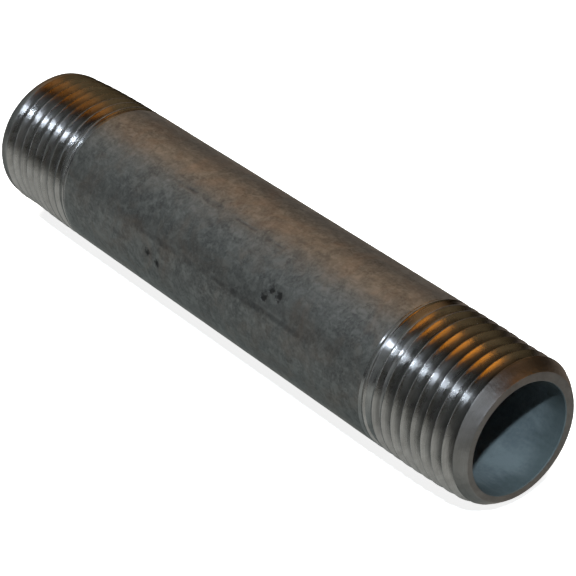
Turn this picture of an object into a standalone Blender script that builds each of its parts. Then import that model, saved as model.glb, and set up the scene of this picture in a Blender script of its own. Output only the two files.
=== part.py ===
"""Threaded pipe nipple: a short length of 1/2 in schedule 40 steel pipe with a
tapered pipe thread, 14 to the inch, cut on each end.

The pipe, its chamfers and its two threads are one piece of steel, so they are
one sub-part. The pipe lies along X, with the middle of its bore at the origin.
"""

from math import cos, pi, radians, sin, tan

import bmesh
import bpy

INCH = 0.0254

# Pipe, in metres
LENGTH = 4 * INCH
OUTER_RADIUS = 0.02134 / 2
BORE_RADIUS = 0.0158 / 2
SIDES = 32                      # flats round the pipe, one of them straight down

# End chamfers, in metres: the outer one leads into the thread, and the bore
# edge is only broken
FACE_OUTER_RADIUS = 0.0090
CHAMFER_LENGTH = 0.0018
BORE_EDGE_BREAK = 0.00025

# Thread, in metres. The pitch radius at the end face and the length of full
# thread are the taper pipe thread standard's own formulas, whose constants are
# for a diameter in inches.
PITCH = INCH / 14
THREAD_DEPTH = 0.8 * PITCH
ROOT_FLAT = 0.04 * PITCH
FLANK_ANGLE = radians(30)
RADIUS_TAPER = 1 / 32
DIAMETER_INCHES = 2 * OUTER_RADIUS / INCH
FACE_PITCH_RADIUS = OUTER_RADIUS - (0.05 * DIAMETER_INCHES + 1.1) * PITCH / 2
FULL_THREAD = (0.8 * DIAMETER_INCHES + 6.8) * PITCH
THREAD_END = 0.0184             # where the last groove has climbed out of the pipe
GROOVE_START_ANGLE = radians(270) - pi / SIDES

# Groove cutter, in metres: it starts outside the end face, winds on past the
# thread's end, and its flanks run a little past the crests
CUTTER_LEAD_IN = 1.5 * PITCH
CUTTER_OVERRUN = 0.25 * PITCH
CUTTER_FLANK_RISE = THREAD_DEPTH + 0.00004
CUTTER_RADIUS = 0.0130

SMOOTH_UP_TO = radians(25)      # edges that turn more than this stay sharp
STEEL_COLOUR = (0.16, 0.155, 0.15, 1.0)
STEEL_ROUGHNESS = 0.42
STEEL_METALLIC = 1.0


def clear_scene():
    for obj in list(bpy.data.objects):
        bpy.data.objects.remove(obj, do_unlink=True)


def crest_radius(inset):
    """Radius of the thread's crests at a distance in from the end face."""
    return FACE_PITCH_RADIUS + THREAD_DEPTH / 2 + inset * RADIUS_TAPER


def root_radius(inset):
    """Radius of the groove's root. Past the full thread it climbs out of the
    pipe in a steeper, straight run."""
    if inset <= FULL_THREAD:
        return crest_radius(inset) - THREAD_DEPTH
    full_root = crest_radius(FULL_THREAD) - THREAD_DEPTH
    climb = (OUTER_RADIUS - full_root) / (THREAD_END - FULL_THREAD)
    return full_root + climb * (inset - FULL_THREAD)


def half_outline():
    """Points (x, radius) of the turned blank at the +X end, from the middle of
    the outside round the end to the middle of the bore."""
    cone_end = (OUTER_RADIUS - crest_radius(0)) / RADIUS_TAPER
    end = LENGTH / 2
    return [
        (end - cone_end, OUTER_RADIUS),
        (end - CHAMFER_LENGTH, crest_radius(CHAMFER_LENGTH)),
        (end, FACE_OUTER_RADIUS),
        (end, BORE_RADIUS + BORE_EDGE_BREAK),
        (end - BORE_EDGE_BREAK, BORE_RADIUS),
    ]


def turned_blank(name):
    """The pipe before threading: its closed outline spun about the X axis,
    with a flat facing straight down."""
    right = half_outline()
    left = [(-x, radius) for x, radius in reversed(right)]
    first = pi / SIDES
    bm = bmesh.new()
    outline = []
    for x, radius in right + left:
        outline.append(bm.verts.new((x, radius * cos(first), radius * sin(first))))
    count = len(outline)
    edges = []
    for index in range(count):
        edges.append(bm.edges.new((outline[index], outline[(index + 1) % count])))
    bmesh.ops.spin(bm, geom=outline + edges, axis=(1, 0, 0), cent=(0, 0, 0),
                   angle=2 * pi, steps=SIDES, use_merge=True)
    return finished_object(bm, name)


def groove_section(inset):
    """Cross-section (x offset, radius) of the groove cutter: a flat root, two
    flanks, and straight walls from the crests outwards."""
    root = root_radius(inset)
    half_root = ROOT_FLAT / 2
    half_top = half_root + CUTTER_FLANK_RISE * tan(FLANK_ANGLE)
    shoulder = root + CUTTER_FLANK_RISE
    return [
        (-half_root, root),
        (half_root, root),
        (half_top, shoulder),
        (half_top, CUTTER_RADIUS),
        (-half_top, CUTTER_RADIUS),
        (-half_top, shoulder),
    ]


def groove_cutter(name):
    """The right-hand helical groove of the +X thread, as a closed solid that
    starts outside the end face and winds in until it has left the pipe. Its
    stations line up with the pipe's own edges."""
    advance = PITCH / SIDES
    stations = round((CUTTER_LEAD_IN + THREAD_END + CUTTER_OVERRUN) / advance)
    bm = bmesh.new()
    rings = []
    for index in range(stations + 1):
        inset = index * advance - CUTTER_LEAD_IN
        angle = GROOVE_START_ANGLE - 2 * pi * inset / PITCH
        ring = []
        for offset, radius in groove_section(inset):
            point = (LENGTH / 2 - inset + offset, radius * cos(angle), radius * sin(angle))
            ring.append(bm.verts.new(point))
        rings.append(ring)
    for ring, following in zip(rings, rings[1:]):
        count = len(ring)
        for corner in range(count):
            after = (corner + 1) % count
            bm.faces.new((ring[corner], ring[after], following[after], following[corner]))
    bm.faces.new(rings[0])
    bm.faces.new(rings[-1])
    cutter = finished_object(bm, name)
    cutter.hide_render = True
    cutter.display_type = "WIRE"
    return cutter


def finished_object(bm, name):
    bmesh.ops.recalc_face_normals(bm, faces=bm.faces)
    mesh = bpy.data.meshes.new(name)
    bm.to_mesh(mesh)
    bm.free()
    obj = bpy.data.objects.new(name, mesh)
    bpy.context.scene.collection.objects.link(obj)
    return obj


def opposite_end(cutter, name):
    """A copy of a cutter turned half round the Z axis, to the -X end. A turn
    keeps the thread right-handed, which a mirror wouldn't."""
    copy = bpy.data.objects.new(name, cutter.data)
    copy.rotation_euler = (0, 0, pi)
    copy.hide_render = True
    copy.display_type = "WIRE"
    bpy.context.scene.collection.objects.link(copy)
    return copy


def cut(target, cutter):
    boolean = target.modifiers.new(cutter.name, "BOOLEAN")
    boolean.operation = "DIFFERENCE"
    boolean.solver = "EXACT"
    boolean.object = cutter


def steel_material():
    material = bpy.data.materials.new("dark_steel")
    material.use_nodes = True
    shader = material.node_tree.nodes["Principled BSDF"]
    shader.inputs["Base Color"].default_value = STEEL_COLOUR
    shader.inputs["Roughness"].default_value = STEEL_ROUGHNESS
    shader.inputs["Metallic"].default_value = STEEL_METALLIC
    return material


def main():
    clear_scene()
    pipe = turned_blank("pipe_nipple")
    near_groove = groove_cutter("groove_cutter_plus_x")
    far_groove = opposite_end(near_groove, "groove_cutter_minus_x")
    cut(pipe, near_groove)
    cut(pipe, far_groove)
    pipe.data.materials.append(steel_material())
    pipe.data.shade_smooth()
    pipe.data.set_sharp_from_angle(angle=SMOOTH_UP_TO)


main()
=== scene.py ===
from collections import namedtuple
from math import cos, pi, radians, sin, tan

import bpy
import numpy as np
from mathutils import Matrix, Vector, noise


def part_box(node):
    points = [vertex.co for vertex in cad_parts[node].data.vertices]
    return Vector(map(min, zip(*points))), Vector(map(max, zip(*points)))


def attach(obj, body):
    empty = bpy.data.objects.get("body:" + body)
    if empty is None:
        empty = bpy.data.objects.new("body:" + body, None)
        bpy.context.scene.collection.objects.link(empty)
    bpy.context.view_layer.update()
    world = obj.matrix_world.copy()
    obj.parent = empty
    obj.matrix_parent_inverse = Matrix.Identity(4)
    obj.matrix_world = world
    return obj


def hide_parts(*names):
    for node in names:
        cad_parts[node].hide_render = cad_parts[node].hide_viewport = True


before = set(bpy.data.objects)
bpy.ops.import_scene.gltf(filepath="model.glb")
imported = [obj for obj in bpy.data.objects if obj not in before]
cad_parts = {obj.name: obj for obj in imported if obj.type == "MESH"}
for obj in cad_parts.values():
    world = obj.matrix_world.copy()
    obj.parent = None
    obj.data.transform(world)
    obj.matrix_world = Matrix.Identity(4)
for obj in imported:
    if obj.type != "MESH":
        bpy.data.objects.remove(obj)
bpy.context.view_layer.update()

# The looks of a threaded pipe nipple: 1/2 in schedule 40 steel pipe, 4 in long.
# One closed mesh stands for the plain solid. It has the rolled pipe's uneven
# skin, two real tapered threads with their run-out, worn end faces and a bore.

NODE = "pipe_nipple"
MM = 0.001
INCH = 25.4 * MM

# ------------------------------------------------------------------ the pipe
# The plain solid's section has flat sides, one of them on top. Its corners are
# on the round pipe, so they stand a little further out than its box.
SOLID_SIDES = 32
HIGH_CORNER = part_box(NODE)[1]
FACE_X = HIGH_CORNER.x
OUTER_RADIUS = HIGH_CORNER.z / cos(pi / SOLID_SIDES)
BORE_RADIUS = 7.9 * MM

# Taper pipe thread: 14 to the inch, 60 degrees, 1 in 16 on diameter. The pitch
# radius at the end face is the thread standard's own formula, in inches. The
# groove's angle at its start is about +X, measured from +Y.
PITCH = INCH / 14
THREAD_DEPTH = 0.8 * PITCH
CREST_WEAR = 0.05 * MM
ROOT_HALF_FLAT = 0.02 * PITCH
FLANK_RUN = tan(radians(30))
RADIUS_TAPER = 1 / 32
FACE_PITCH_RADIUS = OUTER_RADIUS - (0.1 * OUTER_RADIUS / INCH + 1.1) * PITCH / 2
FACE_ROOT_RADIUS = FACE_PITCH_RADIUS - THREAD_DEPTH / 2
CONE_END = (OUTER_RADIUS - FACE_ROOT_RADIUS - THREAD_DEPTH + CREST_WEAR) / RADIUS_TAPER
SCALED_CREST_START = CONE_END + 0.4 * MM
RUN_OUT_SLOPE = 0.277
GROOVE_START = radians(264.4)
EDGE_ROUNDING = 0.05 * MM
CREST_ROUNDING = 0.13 * MM

# Ends: where the last groove has climbed out of the pipe, the flat face's
# outer radius, how far the lead-in to the first crests reaches, how far off
# centre it was cut and to which side, and the seed of the wear. The +X end is
# chamfered more deeply than the -X end. The lean dies away over LEAN_LENGTH. A
# LEAD_IN_POWER of 1 would make the lead-in a straight cone, and 2 a round one.
End = namedtuple("End", "thread_end face_radius lead_in lean lean_angle seed")
NEAR_END = End(18.4 * MM, 9.05 * MM, 1.8 * MM, 0.24 * MM, radians(28), 1.3)
FAR_END = End(17.6 * MM, 9.4 * MM, 0.9 * MM, 0.32 * MM, radians(-2), 21.9)
LEAN_LENGTH = 7 * MM
LEAD_IN_POWER = 1.1

# The first turn's rubbed-down groove, and the edge of the bore
FIRST_GROOVE = 1.1 * MM
FULL_GROOVE = 2.0 * MM
BORE_EDGE = 0.12 * MM
EDGE_SOFTNESS = 0.04 * MM

# Unevenness: the size and height in mm of the wear on the lead-in, of its
# nicks, of the crests' nicks, and of the waves and grain in the surfaces. The
# lead-in's wear fades out at LEAD_IN_WEAR_REACH times its length from the face,
# and the skin's unevenness over the last SKIN_FADE before each thread.
END_WEAR = (1.1, 0.024)
END_NICKS = (0.5, 0.012)
CREST_NICKS = (0.6, 0.010)
THREAD_WAVES = (5, 0.010)
SKIN_WAVES = (9, 0.016)
SKIN_GRAIN = (1.6, 0.005)
SKIN_FADE = 2 * MM
LEAD_IN_WEAR_REACH = 1.6
BORE_WAVES = (5, 0.03)

# Mesh resolution. A thread row that comes within SNAP of the rim or of the
# thread's end joins it, and KNOT_GAP parts the rows where the profile turns.
COLUMNS = 160
COLUMN_ANGLES = np.arange(COLUMNS) * 2 * pi / COLUMNS
SKIN_ROWS = 110
BORE_ROWS = 50
FACE_RINGS = 5
RIM_INSETS = np.array([0.16, 0.10, 0.06, 0.03, 0.01, 0.0]) * MM
SNAP = 0.03 * MM
KNOT_GAP = 0.03 * MM
CREST_EDGE_STEPS = 12

MILL_SCALE, CUT_STEEL, BORE_SCALE = range(3)

# Dents in the rolled skin: distance from the +X face in mm, degrees from the
# top towards -Y, radius and depth in mm
PITS = (
    (36.7, 55, 0.72, 0.10),
    (38.3, 54, 0.62, 0.09),
    (39.2, 61, 0.70, 0.12),
    (61.4, 89, 0.55, 0.06),
    (63.6, 85, 0.60, 0.08),
    (47.0, -110, 0.50, 0.09),
    (72.0, 150, 0.55, 0.10),
    (31.0, -60, 0.35, 0.06),
)

# Faint drawn lines along the skin: degrees from the top towards -Y, where each
# starts and stops as distances from the +X face, and its half width, in mm
DRAWN_LINES = (
    (24.5, 38, 67, 0.55),
    (71, 28, 71, 0.60),
    (-150, 25, 60, 0.40),
)


def smooth_min(a, b, blend):
    """The lower of a and b, rounded over a height of blend where they cross."""
    share = np.clip(0.5 + 0.5 * (b - a) / blend, 0, 1)
    return b + (a - b) * share - blend * share * (1 - share)


def smooth_max(a, b, blend):
    return -smooth_min(-a, -b, blend)


def uneven(points, size_and_height, seed):
    """Smooth noise at each point, in mm, whose largest features have a given
    size and which reaches about a given height."""
    size, height = size_and_height
    shift = Vector((seed, seed * 1.7, seed * 2.3))
    places = [Vector(point) / (size * MM) + shift for point in points]
    values = [noise.fractal(place, 1.0, 2.0, 3) for place in places]
    return np.array(values) * height


def along_pipe(inset, radius, angle):
    """Points at insets from the +X face, at angles about +X measured from +Y."""
    return np.stack([FACE_X - inset, radius * np.cos(angle), radius * np.sin(angle)], axis=1)


def circle(x, radii):
    """A ring of points round the pipe's axis, one for each mesh column."""
    radii = np.broadcast_to(radii, COLUMNS)
    y, z = radii * np.cos(COLUMN_ANGLES), radii * np.sin(COLUMN_ANGLES)
    return np.stack([np.full(COLUMNS, x), y, z], axis=1)


def on_pipe(inset, degrees, radius):
    """The point at an inset from the +X face and an angle from the top."""
    turn = radians(degrees)
    return Vector((FACE_X - inset, -radius * sin(turn), radius * cos(turn)))


# ------------------------------------------------------------ thread profile
def root_radius(inset):
    return FACE_ROOT_RADIUS + inset * RADIUS_TAPER


def throat_radius(inset, end):
    """The die's lead cuts a straight cone that reaches the pipe's skin at the
    thread's end, so the last grooves are shallow and flat-bottomed."""
    return OUTER_RADIUS - RUN_OUT_SLOPE * (end.thread_end - inset)


def start_radius(inset, centre):
    """The chamfering tool has rubbed down the first turn: the groove begins at
    an inset of FIRST_GROOVE and is at its full depth by FULL_GROOVE."""
    share = np.clip((centre - FIRST_GROOVE) / (FULL_GROOVE - FIRST_GROOVE), 0, 1)
    return root_radius(inset) + THREAD_DEPTH * (1 - share * share * (3 - 2 * share))


def blank_radius(inset, end):
    """Outside of the turned end before threading: lead-in, cone, pipe."""
    crest = root_radius(inset) + THREAD_DEPTH - CREST_WEAR
    cone = smooth_min(crest, OUTER_RADIUS, EDGE_ROUNDING / 2)
    share = np.clip(1 - inset / end.lead_in, 0, 1)
    rise = (1 - share ** LEAD_IN_POWER) ** (1 / LEAD_IN_POWER)
    return end.face_radius + (cone - end.face_radius) * rise


def off_centre(inset, angle, end):
    """How much further out the end stands on one side than on the other,
    because its lead-in was cut a little off the pipe's axis."""
    share = np.clip(1 - inset / LEAN_LENGTH, 0, 1)
    return end.lean * np.cos(angle - end.lean_angle) * share * share * (3 - 2 * share)


def groove_centre(turn, angle):
    """Inset of groove number turn at an angle about +X measured from +Y. The
    inset grows as the angle falls, which makes the thread right-handed."""
    return PITCH * (turn + (GROOVE_START - angle) / (2 * pi) - 1)


def nearest_groove(inset, angle):
    turn = np.round(inset / PITCH - (GROOVE_START - angle) / (2 * pi) + 1)
    return groove_centre(turn, angle)


def profile_radius(inset, centre, end):
    """Radius of the finished outside at an inset, beside the groove whose
    centre is given."""
    aside = np.maximum(np.abs(inset - centre) - ROOT_HALF_FLAT, 0)
    groove = np.maximum(root_radius(inset) + aside / FLANK_RUN, start_radius(inset, centre))
    cut = smooth_max(groove, throat_radius(inset, end), EDGE_ROUNDING)
    return smooth_min(blank_radius(inset, end), cut, CREST_ROUNDING)


def root_edge(centre, end, side):
    """How far from a groove's centre its bottom ends, towards -1 or +1."""
    run_out = np.maximum(throat_radius(centre, end) - root_radius(centre), 0)
    steepness = 1 / FLANK_RUN - side * np.where(run_out > 0, RUN_OUT_SLOPE, 0)
    height = np.maximum(run_out, start_radius(centre, centre) - root_radius(centre))
    return (height + ROOT_HALF_FLAT / FLANK_RUN) / steepness


def crest_edge(centre, end, side):
    """How far from a groove's centre its flank meets the blank."""
    reach = np.full(centre.shape, PITCH / 2)
    for _ in range(CREST_EDGE_STEPS):
        blank = blank_radius(np.maximum(centre + side * reach, 0), end)
        target = ROOT_HALF_FLAT + (blank - root_radius(centre)) * FLANK_RUN
        reach = (reach + np.clip(target, 0, PITCH / 2)) / 2
    return reach


def knot_offsets(centre, end):
    """Where the mesh rows of one groove lie along the axis, from one crest to
    the next, close together where the profile turns."""
    half = PITCH / 2
    sides = []
    for side in (-1, 1):
        crest = np.clip(crest_edge(centre, end, side), 9 * KNOT_GAP, half - KNOT_GAP)
        root = np.clip(root_edge(centre, end, side), 0, crest - 6 * KNOT_GAP)
        inner = root + KNOT_GAP
        outer = crest - KNOT_GAP
        land = crest + np.minimum(KNOT_GAP, (half - crest) / 3)
        knots = [np.maximum(root - KNOT_GAP, root / 2), inner]
        knots += [inner + (outer - inner) * share for share in (1 / 3, 2 / 3)]
        knots += [outer]
        knots += [land + (half - land) * share for share in (0, 1 / 3, 2 / 3)]
        sides.append(knots)
    before = [-knot for knot in reversed(sides[0])]
    middle = [np.zeros(centre.shape)]
    after = sides[1] + [np.full(centre.shape, half)]
    return np.stack(before + middle + after)


# ----------------------------------------------------------------- the mesh
class Skin:
    """Vertices and faces, with a material for each face and how deep in the
    thread each vertex lies."""

    def __init__(self):
        self.points = []
        self.depths = []
        self.corners = []
        self.slots = []
        self.count = 0

    def add(self, points, depths=0.0):
        first = self.count
        self.points.append(points)
        self.depths.append(np.broadcast_to(depths, len(points)))
        self.count += len(points)
        return np.arange(first, self.count)

    def ring(self, x, radii):
        return self.add(circle(x, radii))

    def strip(self, row, following, slots):
        """Faces between two rows of COLUMNS + 1 vertices, whose normals face
        outwards on the pipe's outside when following lies nearer to -X."""
        quads = np.stack([row[:-1], following[:-1], following[1:], row[1:]], axis=1)
        self.corners.append(quads)
        self.slots.append(np.broadcast_to(slots, len(quads)))

    def band(self, row, following, slot):
        self.strip(np.append(row, row[0]), np.append(following, following[0]), slot)

    def to_mesh(self, name):
        faces, slots = [], []
        for quads, quad_slots in zip(self.corners, self.slots):
            for quad, slot in zip(quads.tolist(), quad_slots.tolist()):
                face = list(dict.fromkeys(quad))
                if len(face) >= 3:
                    faces.append(face)
                    slots.append(slot)
        mesh = bpy.data.meshes.new(name)
        mesh.from_pydata(np.concatenate(self.points).tolist(), [], faces)
        mesh.polygons.foreach_set("material_index", slots)
        depth = mesh.attributes.new("groove_depth", "FLOAT", "POINT")
        depth.data.foreach_set("value", np.concatenate(self.depths).astype(np.float32))
        return mesh


def thread_rows(skin, end, rim, plain):
    """The helical rows between the rim ring and the ring at the thread's end.
    Each row follows its groove round, so the row that ends a turn is the row
    one groove nearer to the face at the turn's start."""
    last_turn = int(end.thread_end / PITCH) + 2
    turns = np.arange(last_turn + 1)
    centres = groove_centre(turns[:, None], COLUMN_ANGLES[None, :])
    offsets = knot_offsets(centres, end)
    knots = len(offsets)
    insets = (centres[None] + offsets).transpose(1, 0, 2).reshape(-1, COLUMNS)
    middles = np.repeat(centres, knots, axis=0)
    radii = profile_radius(np.maximum(insets, 0), middles, end)
    blank = blank_radius(np.maximum(insets, 0), end)
    depth = np.clip((blank - radii) / THREAD_DEPTH, 0, 1)

    angles = np.broadcast_to(COLUMN_ANGLES, insets.shape)
    column = np.broadcast_to(np.arange(COLUMNS), insets.shape)
    rows = np.where(insets < RIM_INSETS[0] + SNAP, rim[column], plain[column])
    inside = (insets >= RIM_INSETS[0] + SNAP) & (insets <= end.thread_end - SNAP)

    inset, radius, angle = insets[inside], radii[inside], angles[inside]
    sunk = depth[inside]
    lead_in = np.clip(LEAD_IN_WEAR_REACH - inset / end.lead_in, 0, 1)
    round_points = along_pipe(inset, radius, angle)
    wear = uneven(round_points, END_WEAR, end.seed) * lead_in
    wear += uneven(round_points, END_NICKS, end.seed + 3) * lead_in
    wear += uneven(round_points, CREST_NICKS, end.seed + 5) * (1 - sunk) ** 4
    wear += uneven(round_points, THREAD_WAVES, end.seed + 9)
    radius = radius + wear * MM + off_centre(inset, angle, end)
    rows[inside] = skin.add(along_pipe(inset, radius, angle), sunk)

    seam = np.concatenate([np.full(knots, rim[0]), rows[:-knots, 0]])
    rows = np.concatenate([rows, seam[:, None]], axis=1)
    # The strips from the crest's edge beside one groove to that beside the next
    crest_knots = (knots - 4, knots - 3, knots - 2, knots - 1, 0, 1)
    for index in range(len(rows) - 1):
        on_crest = index % knots in crest_knots
        scaled = on_crest & (insets[index] > SCALED_CREST_START)
        slots = np.where(scaled, MILL_SCALE, CUT_STEEL)
        skin.strip(rows[index], rows[index + 1], slots)


def end_patch(skin, end):
    """The +X end, from the bore's edge round the face and the thread. Returns
    its two open rings: the one at the thread's end and the one in the bore."""
    rims = []
    for inset in RIM_INSETS:
        centre = nearest_groove(inset, COLUMN_ANGLES)
        outer = profile_radius(inset, centre, end) + off_centre(inset, COLUMN_ANGLES, end)
        rims.append(skin.ring(FACE_X - inset, outer))
    plain = skin.ring(FACE_X - end.thread_end, OUTER_RADIUS)
    thread_rows(skin, end, rims[0], plain)

    inner = BORE_RADIUS + BORE_EDGE
    rings = list(rims)
    for share in np.linspace(0, 1, FACE_RINGS + 1)[1:]:
        rings.append(skin.ring(FACE_X, outer + (inner - outer) * share))
    rings.append(skin.ring(FACE_X - EDGE_SOFTNESS / 3, inner - EDGE_SOFTNESS))
    rings.append(skin.ring(FACE_X - BORE_EDGE, BORE_RADIUS + EDGE_SOFTNESS / 2))
    rings.append(skin.ring(FACE_X - BORE_EDGE - EDGE_SOFTNESS, BORE_RADIUS))
    for index, (ring, following) in enumerate(zip(rings, rings[1:])):
        on_bore_edge = index >= len(RIM_INSETS) + FACE_RINGS - 1
        skin.band(following, ring, BORE_SCALE if on_bore_edge else CUT_STEEL)
    return plain, rings[-1]


def turned_end(skin, end):
    """The -X end: the +X end turned half round the Z axis, which keeps its
    thread right-handed. Its rings come back in the other end's column order."""
    blocks = len(skin.points)
    plain, bore = end_patch(skin, end)
    for index in range(blocks, len(skin.points)):
        skin.points[index] = skin.points[index] * np.array([-1, -1, 1])
    order = (COLUMNS // 2 - np.arange(COLUMNS)) % COLUMNS
    return plain[order], bore[order]


def rolled_skin(skin, near, far):
    """The plain pipe between the threads: not quite round or straight, with a
    few dents."""
    rows = [near]
    start, stop = FACE_X - NEAR_END.thread_end, FAR_END.thread_end - FACE_X
    for share in np.arange(1, SKIN_ROWS) / SKIN_ROWS:
        x = start + (stop - start) * share
        ring = circle(x, OUTER_RADIUS)
        height = uneven(ring, SKIN_WAVES, 3.1) + uneven(ring, SKIN_GRAIN, 7.7)
        for inset, degrees, radius, depth in PITS:
            centre = np.array(on_pipe(inset * MM, degrees, OUTER_RADIUS))
            distance = np.linalg.norm(ring - centre, axis=1) / (radius * MM)
            height -= depth * np.exp(-distance ** 2)
        fade = min(1.0, min(start - x, x - stop) / SKIN_FADE)
        radii = OUTER_RADIUS + height * fade * MM
        rows.append(skin.ring(x, radii))
    rows.append(far)
    for row, following in zip(rows, rows[1:]):
        skin.band(row, following, MILL_SCALE)


def bore_wall(skin, near, far):
    rows = [near]
    stop = FACE_X - BORE_EDGE - EDGE_SOFTNESS
    for share in np.arange(1, BORE_ROWS) / BORE_ROWS:
        x = stop - 2 * stop * share
        waves = uneven(circle(x, BORE_RADIUS), BORE_WAVES, 12.3) * MM
        rows.append(skin.ring(x, BORE_RADIUS + waves))
    rows.append(far)
    for row, following in zip(rows, rows[1:]):
        skin.band(following, row, BORE_SCALE)


def shade_by_area(mesh):
    """Smooth normals that lean to the larger faces, so that flanks and flats
    stay flat and the turn is left to the narrow faces at their edges."""
    normals = np.zeros(len(mesh.polygons) * 3)
    areas = np.zeros(len(mesh.polygons))
    sizes = np.zeros(len(mesh.polygons), int)
    corners = np.zeros(len(mesh.loops), int)
    mesh.polygons.foreach_get("normal", normals)
    mesh.polygons.foreach_get("area", areas)
    mesh.polygons.foreach_get("loop_total", sizes)
    mesh.loops.foreach_get("vertex_index", corners)
    weighted = normals.reshape(-1, 3) * areas[:, None]
    total = np.zeros((len(mesh.vertices), 3))
    np.add.at(total, corners, np.repeat(weighted, sizes, axis=0))
    lengths = np.linalg.norm(total, axis=1)
    mesh.shade_smooth()
    mesh.normals_split_custom_set_from_vertices((total / lengths[:, None]).tolist())


def nipple_mesh():
    skin = Skin()
    near_plain, near_bore = end_patch(skin, NEAR_END)
    far_plain, far_bore = turned_end(skin, FAR_END)
    rolled_skin(skin, near_plain, far_plain)
    bore_wall(skin, near_bore, far_bore)
    mesh = skin.to_mesh("nipple_steel")
    shade_by_area(mesh)
    return mesh


# ---------------------------------------------------------------- materials
class Nodes:
    """A material's node tree with short calls for the nodes used here. Lengths
    are in mm, because the coordinates are scaled from metres."""

    def __init__(self, name):
        self.material = bpy.data.materials.new(name)
        self.material.use_nodes = True
        self.tree = self.material.node_tree
        self.shader = self.tree.nodes["Principled BSDF"]
        place = self.tree.nodes.new("ShaderNodeTexCoord")
        self.place = self.vector("MULTIPLY", place.outputs["Object"], (1 / MM,) * 3)

    def link(self, value, socket):
        if isinstance(value, bpy.types.NodeSocket):
            self.tree.links.new(value, socket)
        else:
            socket.default_value = value

    def math(self, operation, *values):
        node = self.tree.nodes.new("ShaderNodeMath")
        node.operation = operation
        for value, socket in zip(values, node.inputs):
            self.link(value, socket)
        return node.outputs[0]

    def vector(self, operation, *values):
        node = self.tree.nodes.new("ShaderNodeVectorMath")
        node.operation = operation
        for value, socket in zip(values, node.inputs):
            self.link(value, socket)
        return node.outputs["Value" if operation == "DISTANCE" else 0]

    def noise(self, size, detail=3.0, roughness=0.55, stretch=(1, 1, 1), shift=0.0, warp=0.0):
        """Noise, 0 to 1, with features of size mm, longer along an axis by
        the factors in stretch."""
        scaled = self.vector("DIVIDE", self.place, tuple(size * factor for factor in stretch))
        moved = self.vector("ADD", scaled, (shift, shift * 1.3, shift * 0.7))
        node = self.tree.nodes.new("ShaderNodeTexNoise")
        node.inputs["Scale"].default_value = 1.0
        node.inputs["Detail"].default_value = detail
        node.inputs["Roughness"].default_value = roughness
        node.inputs["Distortion"].default_value = warp
        self.tree.links.new(moved, node.inputs["Vector"])
        return node.outputs["Fac"]

    def map(self, value, low, high, to_low=0.0, to_high=1.0, smooth=False):
        node = self.tree.nodes.new("ShaderNodeMapRange")
        node.interpolation_type = "SMOOTHSTEP" if smooth else "LINEAR"
        for item, socket in zip((value, low, high, to_low, to_high), node.inputs):
            self.link(item, socket)
        return node.outputs["Result"]

    def mix(self, share, first, second):
        node = self.tree.nodes.new("ShaderNodeMix")
        node.data_type = "RGBA"
        self.link(share, node.inputs["Factor"])
        first_colour, second_colour = node.inputs[6], node.inputs[7]
        self.link(first, first_colour)
        self.link(second, second_colour)
        return node.outputs[2]

    def bump(self, height, depth, below=None):
        """Bump whose height, 0 to 1, stands for depth mm."""
        node = self.tree.nodes.new("ShaderNodeBump")
        node.inputs["Strength"].default_value = 1.0
        node.inputs["Distance"].default_value = depth * MM
        self.link(height, node.inputs["Height"])
        if below is not None:
            self.tree.links.new(below, node.inputs["Normal"])
        return node.outputs["Normal"]

    def from_face(self):
        """Distance in mm from the nearer end face."""
        parts = self.tree.nodes.new("ShaderNodeSeparateXYZ")
        self.tree.links.new(self.place, parts.inputs[0])
        return self.math("SUBTRACT", FACE_X / MM, self.math("ABSOLUTE", parts.outputs[0]))

    def attribute(self, name):
        node = self.tree.nodes.new("ShaderNodeAttribute")
        node.attribute_name = name
        return node.outputs["Fac"]

    def finish(self, colour, roughness, normal, metallic):
        self.tree.links.new(colour, self.shader.inputs["Base Color"])
        self.tree.links.new(roughness, self.shader.inputs["Roughness"])
        self.tree.links.new(normal, self.shader.inputs["Normal"])
        self.shader.inputs["Metallic"].default_value = metallic
        return self.material


def rgb(red, green, blue):
    return (red, green, blue, 1.0)


def pit_mask(nodes):
    """1 in the middle of each dent, with ragged edges."""
    wobble = nodes.noise(0.55, detail=3.0, shift=4.0)
    total = None
    for inset, degrees, radius, _ in PITS:
        centre = tuple(on_pipe(inset * MM, degrees, OUTER_RADIUS) / MM)
        distance = nodes.vector("DISTANCE", nodes.place, centre)
        ragged = nodes.math("ADD", distance, nodes.math("MULTIPLY", wobble, radius * 2.4))
        mask = nodes.map(ragged, radius * 2.5, radius * 1.5, smooth=True)
        total = mask if total is None else nodes.math("MAXIMUM", total, mask)
    return total


def line_mask(nodes, degrees, first, last, half_width):
    """1 along a faint drawn line at an angle from the top towards -Y, between
    two distances in mm from the +X face, broken up by noise."""
    parts = nodes.tree.nodes.new("ShaderNodeSeparateXYZ")
    nodes.tree.links.new(nodes.place, parts.inputs[0])
    turn = radians(degrees)
    radius = OUTER_RADIUS / MM
    beside = nodes.vector("DISTANCE", nodes.vector("MULTIPLY", nodes.place, (0, 1, 1)),
                          (0, -radius * sin(turn), radius * cos(turn)))
    drift = nodes.noise(9.0, detail=2.0, shift=degrees)
    beside = nodes.math("ADD", beside, nodes.map(drift, 0.3, 0.7, -0.2, 0.25))
    line = nodes.map(beside, half_width, half_width * 0.2, smooth=True)
    centre, half = FACE_X / MM - (first + last) / 2, (last - first) / 2
    along = nodes.math("ABSOLUTE", nodes.math("SUBTRACT", parts.outputs[0], centre))
    ends = nodes.map(along, half, half * 0.7, smooth=True)
    gaps = nodes.map(nodes.noise(2.2, detail=3.0, shift=degrees + 3), 0.35, 0.6)
    return nodes.math("MULTIPLY", nodes.math("MULTIPLY", line, ends), gaps)


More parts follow.
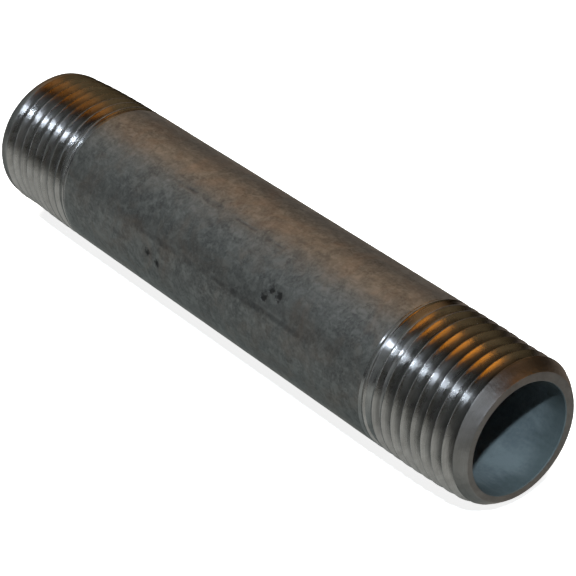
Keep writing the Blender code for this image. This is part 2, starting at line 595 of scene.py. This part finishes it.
def mill_scale():
    """Black iron oxide from the rolling mill: mottled, with thin brown rust,
    paler rubbed grain and drawn lines along the pipe."""
    nodes = Nodes("mill_scale")
    broad = nodes.noise(9.0, detail=4.0, stretch=(1.8, 1, 1), shift=2.0, warp=0.6)
    mottle = nodes.noise(2.1, detail=6.0, roughness=0.62, shift=6.0, warp=0.4)
    blotch = nodes.noise(5.0, detail=6.0, roughness=0.70, shift=23.0, warp=0.8)
    pale = nodes.noise(1.3, detail=5.0, roughness=0.65, shift=31.0, warp=0.5)
    grain = nodes.noise(0.42, detail=4.0, roughness=0.6, shift=1.0)
    drawn = nodes.noise(0.5, detail=4.0, stretch=(26, 1, 1), shift=8.0)
    rust_place = nodes.noise(6.0, detail=6.0, roughness=0.65, shift=17.0, warp=1.0)
    pits = pit_mask(nodes)
    lines = None
    for drawn_line in DRAWN_LINES:
        line = line_mask(nodes, *drawn_line)
        lines = line if lines is None else nodes.math("MAXIMUM", lines, line)

    tone = nodes.math("ADD", nodes.math("MULTIPLY", broad, 0.40), nodes.math("MULTIPLY", mottle, 0.60))
    tone = nodes.map(tone, 0.36, 0.64)
    colour = nodes.mix(tone, rgb(0.130, 0.134, 0.130), rgb(0.232, 0.232, 0.224))
    shade = nodes.math("MULTIPLY", nodes.map(blotch, 0.48, 0.64, smooth=True), 0.62)
    colour = nodes.mix(shade, colour, rgb(0.098, 0.098, 0.096))
    rubbed = nodes.math("MULTIPLY", nodes.map(pale, 0.49, 0.62), 0.60)
    colour = nodes.mix(rubbed, colour, rgb(0.325, 0.330, 0.315))
    speck = nodes.math("MULTIPLY", nodes.map(grain, 0.40, 0.66), 0.45)
    colour = nodes.mix(speck, colour, rgb(0.30, 0.30, 0.29))
    streak = nodes.math("MULTIPLY", nodes.map(drawn, 0.35, 0.62), 0.22)
    colour = nodes.mix(streak, colour, rgb(0.10, 0.10, 0.10))
    rust = nodes.math("MULTIPLY", nodes.map(rust_place, 0.48, 0.72), 0.35)
    colour = nodes.mix(rust, colour, rgb(0.26, 0.19, 0.145))
    dark = nodes.math("MAXIMUM", pits, nodes.math("MULTIPLY", lines, 0.48))
    colour = nodes.mix(nodes.math("MULTIPLY", dark, 0.85), colour, rgb(0.022, 0.021, 0.020))

    roughness = nodes.map(nodes.math("ADD", mottle, grain), 0.7, 1.3, 0.50, 0.36)
    roughness = nodes.math("ADD", roughness, nodes.math("MULTIPLY", dark, 0.25))
    normal = nodes.bump(mottle, 0.030)
    normal = nodes.bump(grain, 0.018, normal)
    normal = nodes.bump(drawn, 0.010, normal)
    normal = nodes.bump(nodes.math("SUBTRACT", 1.0, dark), 0.05, normal)
    return nodes.finish(colour, roughness, normal, 0.85)


def cut_steel():
    """Bare steel left by the die and the chamfering tool: fine rings round the
    pipe, with painted shade darkening the deep parts of the grooves, and
    the lead-ins dulled by handling."""
    nodes = Nodes("cut_steel")
    rings = nodes.noise(0.07, detail=3.0, stretch=(1, 60, 60), shift=3.0)
    wide_rings = nodes.noise(0.35, detail=2.0, stretch=(1, 24, 24), shift=5.0)
    smudge = nodes.noise(2.4, detail=5.0, shift=11.0, warp=0.5)
    nicks = nodes.noise(0.5, detail=3.0, shift=14.0)
    depth = nodes.attribute("groove_depth")

    tone = nodes.math("ADD", nodes.math("MULTIPLY", rings, 0.35), nodes.math("MULTIPLY", smudge, 0.65))
    colour = nodes.mix(nodes.map(tone, 0.35, 0.65), rgb(0.30, 0.295, 0.285), rgb(0.47, 0.465, 0.455))
    # Painted shade: the colour darkens, in patches, where the groove is deep. The same mask also makes
    # those parts rougher.
    painted_groove_shade = nodes.math("MULTIPLY", nodes.map(depth, 0.45, 1.0, smooth=True),
                      nodes.map(smudge, 0.3, 0.6, 0.35, 0.75))
    colour = nodes.mix(painted_groove_shade, colour, rgb(0.10, 0.095, 0.09))

    handled = nodes.map(nodes.from_face(), 2.4, 1.2, smooth=True)
    colour = nodes.mix(nodes.math("MULTIPLY", handled, 0.60), colour, rgb(0.17, 0.165, 0.155))
    roughness = nodes.map(nodes.math("ADD", wide_rings, smudge), 0.7, 1.3, 0.22, 0.33)
    roughness = nodes.math("ADD", roughness, nodes.math("MULTIPLY", painted_groove_shade, 0.15))
    roughness = nodes.math("ADD", roughness, nodes.math("MULTIPLY", handled, 0.18))
    normal = nodes.bump(rings, 0.004)
    normal = nodes.bump(wide_rings, 0.006, normal)
    normal = nodes.bump(nodes.math("MULTIPLY", nicks, nodes.math("ADD", handled, 0.3)), 0.040, normal)
    material = nodes.finish(colour, roughness, normal, 1.0)
    tangent = nodes.tree.nodes.new("ShaderNodeTangent")
    tangent.direction_type = "RADIAL"
    tangent.axis = "X"
    nodes.tree.links.new(tangent.outputs[0], nodes.shader.inputs["Tangent"])
    nodes.tree.links.new(nodes.map(handled, 0.0, 1.0, 0.90, 0.30), nodes.shader.inputs["Anisotropic"])
    nodes.shader.inputs["Anisotropic Rotation"].default_value = 0.25
    return material


def bore_scale():
    """The inside wall: smoother blue-grey scale, matt and lightly blotched."""
    nodes = Nodes("bore_scale")
    broad = nodes.noise(4.0, detail=5.0, stretch=(2.0, 1, 1), shift=9.0, warp=0.5)
    grain = nodes.noise(0.5, detail=4.0, shift=2.5)
    tone = nodes.math("ADD", nodes.math("MULTIPLY", broad, 0.7), nodes.math("MULTIPLY", grain, 0.3))
    colour = nodes.mix(nodes.map(tone, 0.36, 0.64), rgb(0.22, 0.26, 0.28), rgb(0.34, 0.39, 0.41))
    # The wall's colour darkens towards the mouth, over the last few mm before the face, with a ragged
    # edge.
    ragged = nodes.math("ADD", nodes.from_face(), nodes.map(broad, 0.3, 0.7, -1.2, 1.2))
    near_mouth_darkening = nodes.math("MULTIPLY", nodes.map(ragged, 4.5, 1.5, smooth=True), 0.55)
    colour = nodes.mix(near_mouth_darkening, colour, rgb(0.085, 0.115, 0.115))
    roughness = nodes.map(broad, 0.3, 0.7, 0.62, 0.48)
    normal = nodes.bump(broad, 0.05)
    normal = nodes.bump(grain, 0.02, normal)
    return nodes.finish(colour, roughness, normal, 0.30)


def make_nipple():
    mesh = nipple_mesh()
    for material in (mill_scale(), cut_steel(), bore_scale()):
        mesh.materials.append(material)
    nipple = bpy.data.objects.new("nipple_steel", mesh)
    bpy.context.scene.collection.objects.link(nipple)
    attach(nipple, "root")
    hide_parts(NODE)


# ------------------------------------------------------------------- studio
CAMERA_AZIMUTH = radians(51.10)
CAMERA_ELEVATION = radians(32.21)
CAMERA_DISTANCE = 0.3197
CAMERA_AIM = Vector((0.00303, 0.00170, -0.00205))
CAMERA_LENS = 144.93
FLOOR_SIZE = 6.0
FLOOR_GAP = 0.02 * MM
FLOOR_COLOUR = (0.80, 0.80, 0.80, 1.0)
FLOOR_GLOW = 1.05

# Lamps: where they stand and aim, their size, colour and watts, and whether
# they light only what scatters light or are seen only as reflections
MIDDLE = Vector((0, 0, 0))
NEAR_FACE = Vector((FACE_X, 0, 0))
FLASH_WAY = Vector((0.458, -0.411, 0.788)).normalized()
STREAK_WAY = Vector((0.891, -0.234, 0.392)).normalized()
BACK_WAY = Vector((-0.08, -0.579, 0.801)).normalized()
WARM_WAY = Vector((0.852, 0.407, 0.329))
SCATTERED, REFLECTED = True, False
Lamp = namedtuple("Lamp", "name position aim size colour watts scattered")
LAMPS = (
    Lamp("flash", NEAR_FACE + FLASH_WAY, NEAR_FACE, 0.04, (0.76, 0.91, 1.0), 6.6, SCATTERED),
    Lamp("streak_lamp", NEAR_FACE + STREAK_WAY, MIDDLE, 0.075, (0.76, 0.86, 1.0), 1.35, REFLECTED),
    Lamp("back_lamp", NEAR_FACE + BACK_WAY * 0.4, MIDDLE, 0.03, (0.76, 0.86, 1.0), 0.30, REFLECTED),
    Lamp("warm_lamp", NEAR_FACE + WARM_WAY * 0.15, NEAR_FACE, 0.068, (1.0, 0.34, 0.02), 0.021, REFLECTED),
    Lamp("top_softbox", Vector((-0.50, 0, 0.80)), MIDDLE, 0.80, (1.0, 0.95, 0.89), 12.0, SCATTERED),
)

# What the steel reflects besides the lamps: patches of the surroundings, each
# with its radiance and where it fades in along the axes of a direction
GLOW = ((0.84, 0.50, 0.24), ("Y", -0.10, 0.24), ("X", 0.00, -0.60), ("Z", 0.20, 0.70))
FRONT = ((0.26, 0.29, 0.29), ("Y", 0.10, -0.10), ("X", 0.00, -0.50), ("Z", -0.05, 0.40))
END = ((0.19, 0.14, 0.075), ("Y", 0.20, 0.50), ("X", 0.20, 0.50), ("Z", -0.10, 0.10))
AMBER = ((0.38, 0.115, 0.00), ("X", 0.00, 0.50), ("Y", 0.12, 0.36), ("Y", 0.62, 0.46),
         ("Z", 0.10, 0.28), ("Z", 0.97, 0.48))
RIM = ((1.00, 1.05, 1.10), ("X", 0.12, 0.34), ("X", 0.66, 0.46), ("Y", 0.00, -0.25), ("Z", -0.15, 0.15))
AHEAD = ((0.045, 0.04, 0.03), ("X", 0.40, 0.70), ("Y", 0.25, 0.05), ("Z", 0.60, 0.30))
SIDE_GROUND = ((0.40, 0.42, 0.41), ("X", 0.50, 0.10), ("Y", 0.55, 0.15),
               ("Z", 0.03, -0.12), ("Z", -0.95, -0.35))
BACK_GROUND = ((0.33, 0.27, 0.22), ("X", 0.50, 0.10), ("Y", 0.15, 0.55), ("Z", 0.03, -0.12))
END_GROUND = ((0.58, 0.59, 0.57), ("X", 0.00, 0.38), ("Y", 0.80, 0.30), ("Z", -0.10, -0.34))
UNDER = ((0.20, 0.23, 0.23), ("X", 0.40, 0.00), ("Z", -0.35, -0.85))
PATCHES = (GLOW, FRONT, END, AMBER, RIM, AHEAD, SIDE_GROUND, BACK_GROUND, END_GROUND, UNDER)


def make_lights():
    """The flash puts the shadow's edge in the bore. The streak lamp is seen in
    the thread's flanks and the back lamp in its run-outs. The softbox stands
    back from the near end, and lights the pipe but not that bore."""
    for lamp in LAMPS:
        data = bpy.data.lights.new(lamp.name, "AREA")
        data.shape = "DISK"
        data.size = lamp.size
        data.color = lamp.colour
        data.energy = lamp.watts
        light = bpy.data.objects.new(lamp.name, data)
        light.location = lamp.position
        light.rotation_euler = (lamp.position - lamp.aim).to_track_quat("Z", "Y").to_euler()
        light.visible_camera = False
        light.visible_glossy = not lamp.scattered
        light.visible_diffuse = lamp.scattered
        bpy.context.scene.collection.objects.link(light)


def make_world():
    """Surroundings that are seen only as reflections: the sum of the patches."""
    world = bpy.data.worlds.new("studio")
    world.use_nodes = True
    tree = world.node_tree
    place = tree.nodes.new("ShaderNodeTexCoord")
    parts = tree.nodes.new("ShaderNodeSeparateXYZ")
    tree.links.new(place.outputs["Generated"], parts.inputs[0])
    total = None
    for radiance, *edges in PATCHES:
        patch = None
        for axis, start, full in edges:
            fade = tree.nodes.new("ShaderNodeMapRange")
            fade.interpolation_type = "SMOOTHSTEP"
            fade.inputs["From Min"].default_value = start
            fade.inputs["From Max"].default_value = full
            tree.links.new(parts.outputs[axis], fade.inputs["Value"])
            scale = tree.nodes.new("ShaderNodeVectorMath")
            scale.operation = "SCALE"
            scale.inputs[0].default_value = radiance
            if patch is not None:
                tree.links.new(patch, scale.inputs[0])
            tree.links.new(fade.outputs["Result"], scale.inputs["Scale"])
            patch = scale.outputs[0]
        if total is not None:
            add = tree.nodes.new("ShaderNodeVectorMath")
            tree.links.new(total, add.inputs[0])
            tree.links.new(patch, add.inputs[1])
            patch = add.outputs[0]
        total = patch
    tree.links.new(total, tree.nodes["Background"].inputs["Color"])
    bpy.context.scene.world = world
    world.cycles_visibility.diffuse = False


def make_floor():
    mesh = bpy.data.meshes.new("floor")
    half = FLOOR_SIZE / 2
    corners = [(-half, -half, 0), (half, -half, 0), (half, half, 0), (-half, half, 0)]
    mesh.from_pydata(corners, [], [(0, 1, 2, 3)])
    material = bpy.data.materials.new("floor_paper")
    material.use_nodes = True
    shader = material.node_tree.nodes["Principled BSDF"]
    shader.inputs["Base Color"].default_value = FLOOR_COLOUR
    shader.inputs["Roughness"].default_value = 0.9
    shader.inputs["Specular IOR Level"].default_value = 0.0
    shader.inputs["Emission Color"].default_value = FLOOR_COLOUR
    shader.inputs["Emission Strength"].default_value = FLOOR_GLOW
    mesh.materials.append(material)
    floor = bpy.data.objects.new("floor", mesh)
    floor.location = (0, 0, -OUTER_RADIUS - FLOOR_GAP)
    floor.visible_glossy = False
    floor.visible_diffuse = False
    bpy.context.scene.collection.objects.link(floor)


def make_camera():
    data = bpy.data.cameras.new("camera")
    data.lens = CAMERA_LENS
    data.sensor_width = 36.0
    data.clip_start = 0.01
    back = Vector((
        sin(CAMERA_AZIMUTH) * cos(CAMERA_ELEVATION),
        -cos(CAMERA_AZIMUTH) * cos(CAMERA_ELEVATION),
        sin(CAMERA_ELEVATION),
    ))
    camera = bpy.data.objects.new("camera", data)
    camera.location = CAMERA_AIM + back * CAMERA_DISTANCE
    camera.rotation_euler = back.to_track_quat("Z", "Y").to_euler()
    bpy.context.scene.collection.objects.link(camera)
    bpy.context.scene.camera = camera


make_camera()
make_nipple()
make_lights()
make_world()
make_floor()
bpy.context.scene.view_settings.view_transform = "Standard"
